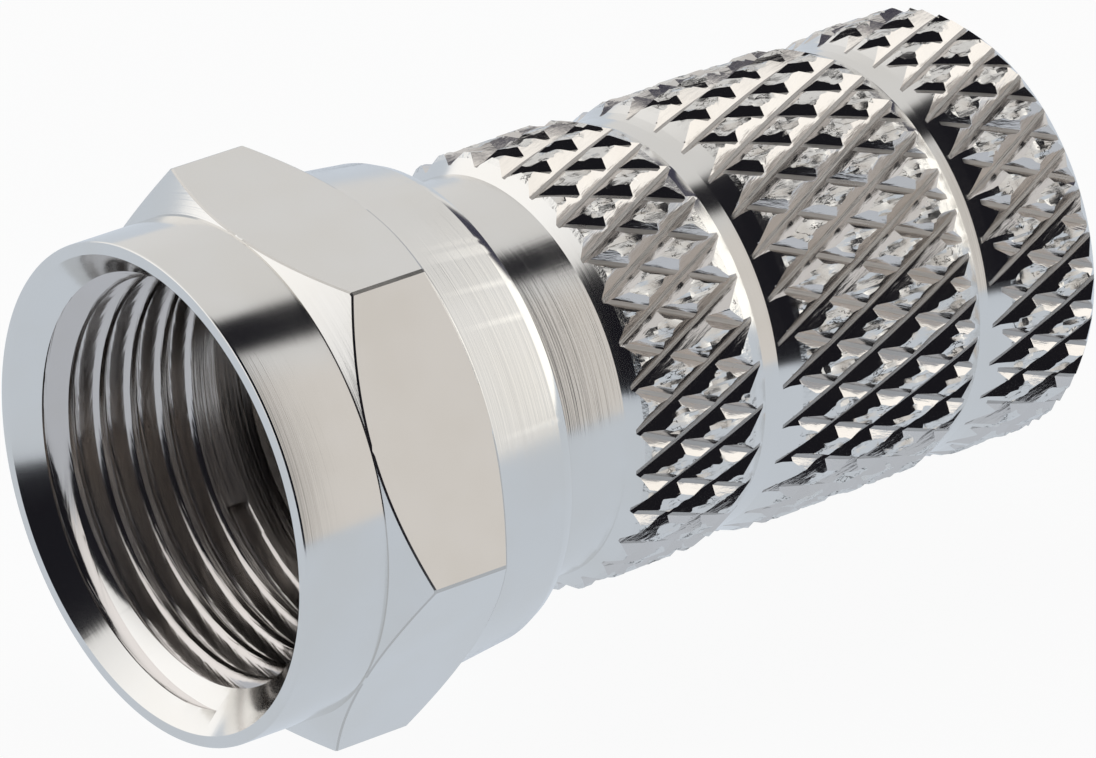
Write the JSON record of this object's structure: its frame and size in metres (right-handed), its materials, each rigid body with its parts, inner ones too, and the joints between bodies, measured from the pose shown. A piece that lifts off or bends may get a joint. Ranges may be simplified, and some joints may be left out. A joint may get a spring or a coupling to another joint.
{
  "type": "twist-on coaxial f connector",
  "caption": "Male twist-on coaxial plug: a hex coupling nut turns freely on a round sleeve with a diamond knurl in bands.",
  "frame": {"origin": "on the axis, on the flange face deep in the nut that the end of the jack butts against, which is the mating reference plane", "axes": "+X along the axis from the mouth of the nut towards the cable end, +Z out of a flat of the hexagon, up as the plug lies on the opposite flat"},
  "size_m": [0.0216, 0.0128, 0.011],
  "materials": {
    "nickel_plate": "bright nickel plating on turned brass"
  },
  "bodies": {
    "sleeve": {"knurled_sleeve": "nickel_plate", "flanged_ferrule": "nickel_plate"},
    "nut": {"coupling_nut": "nickel_plate"}
  },
  "joints": [
    {"name": "nut_spin", "type": "hinge", "parent": "sleeve", "child": "nut", "pos_m": [0, 0, 0], "axis": [1, 0, 0], "continuous": true}
  ]
}
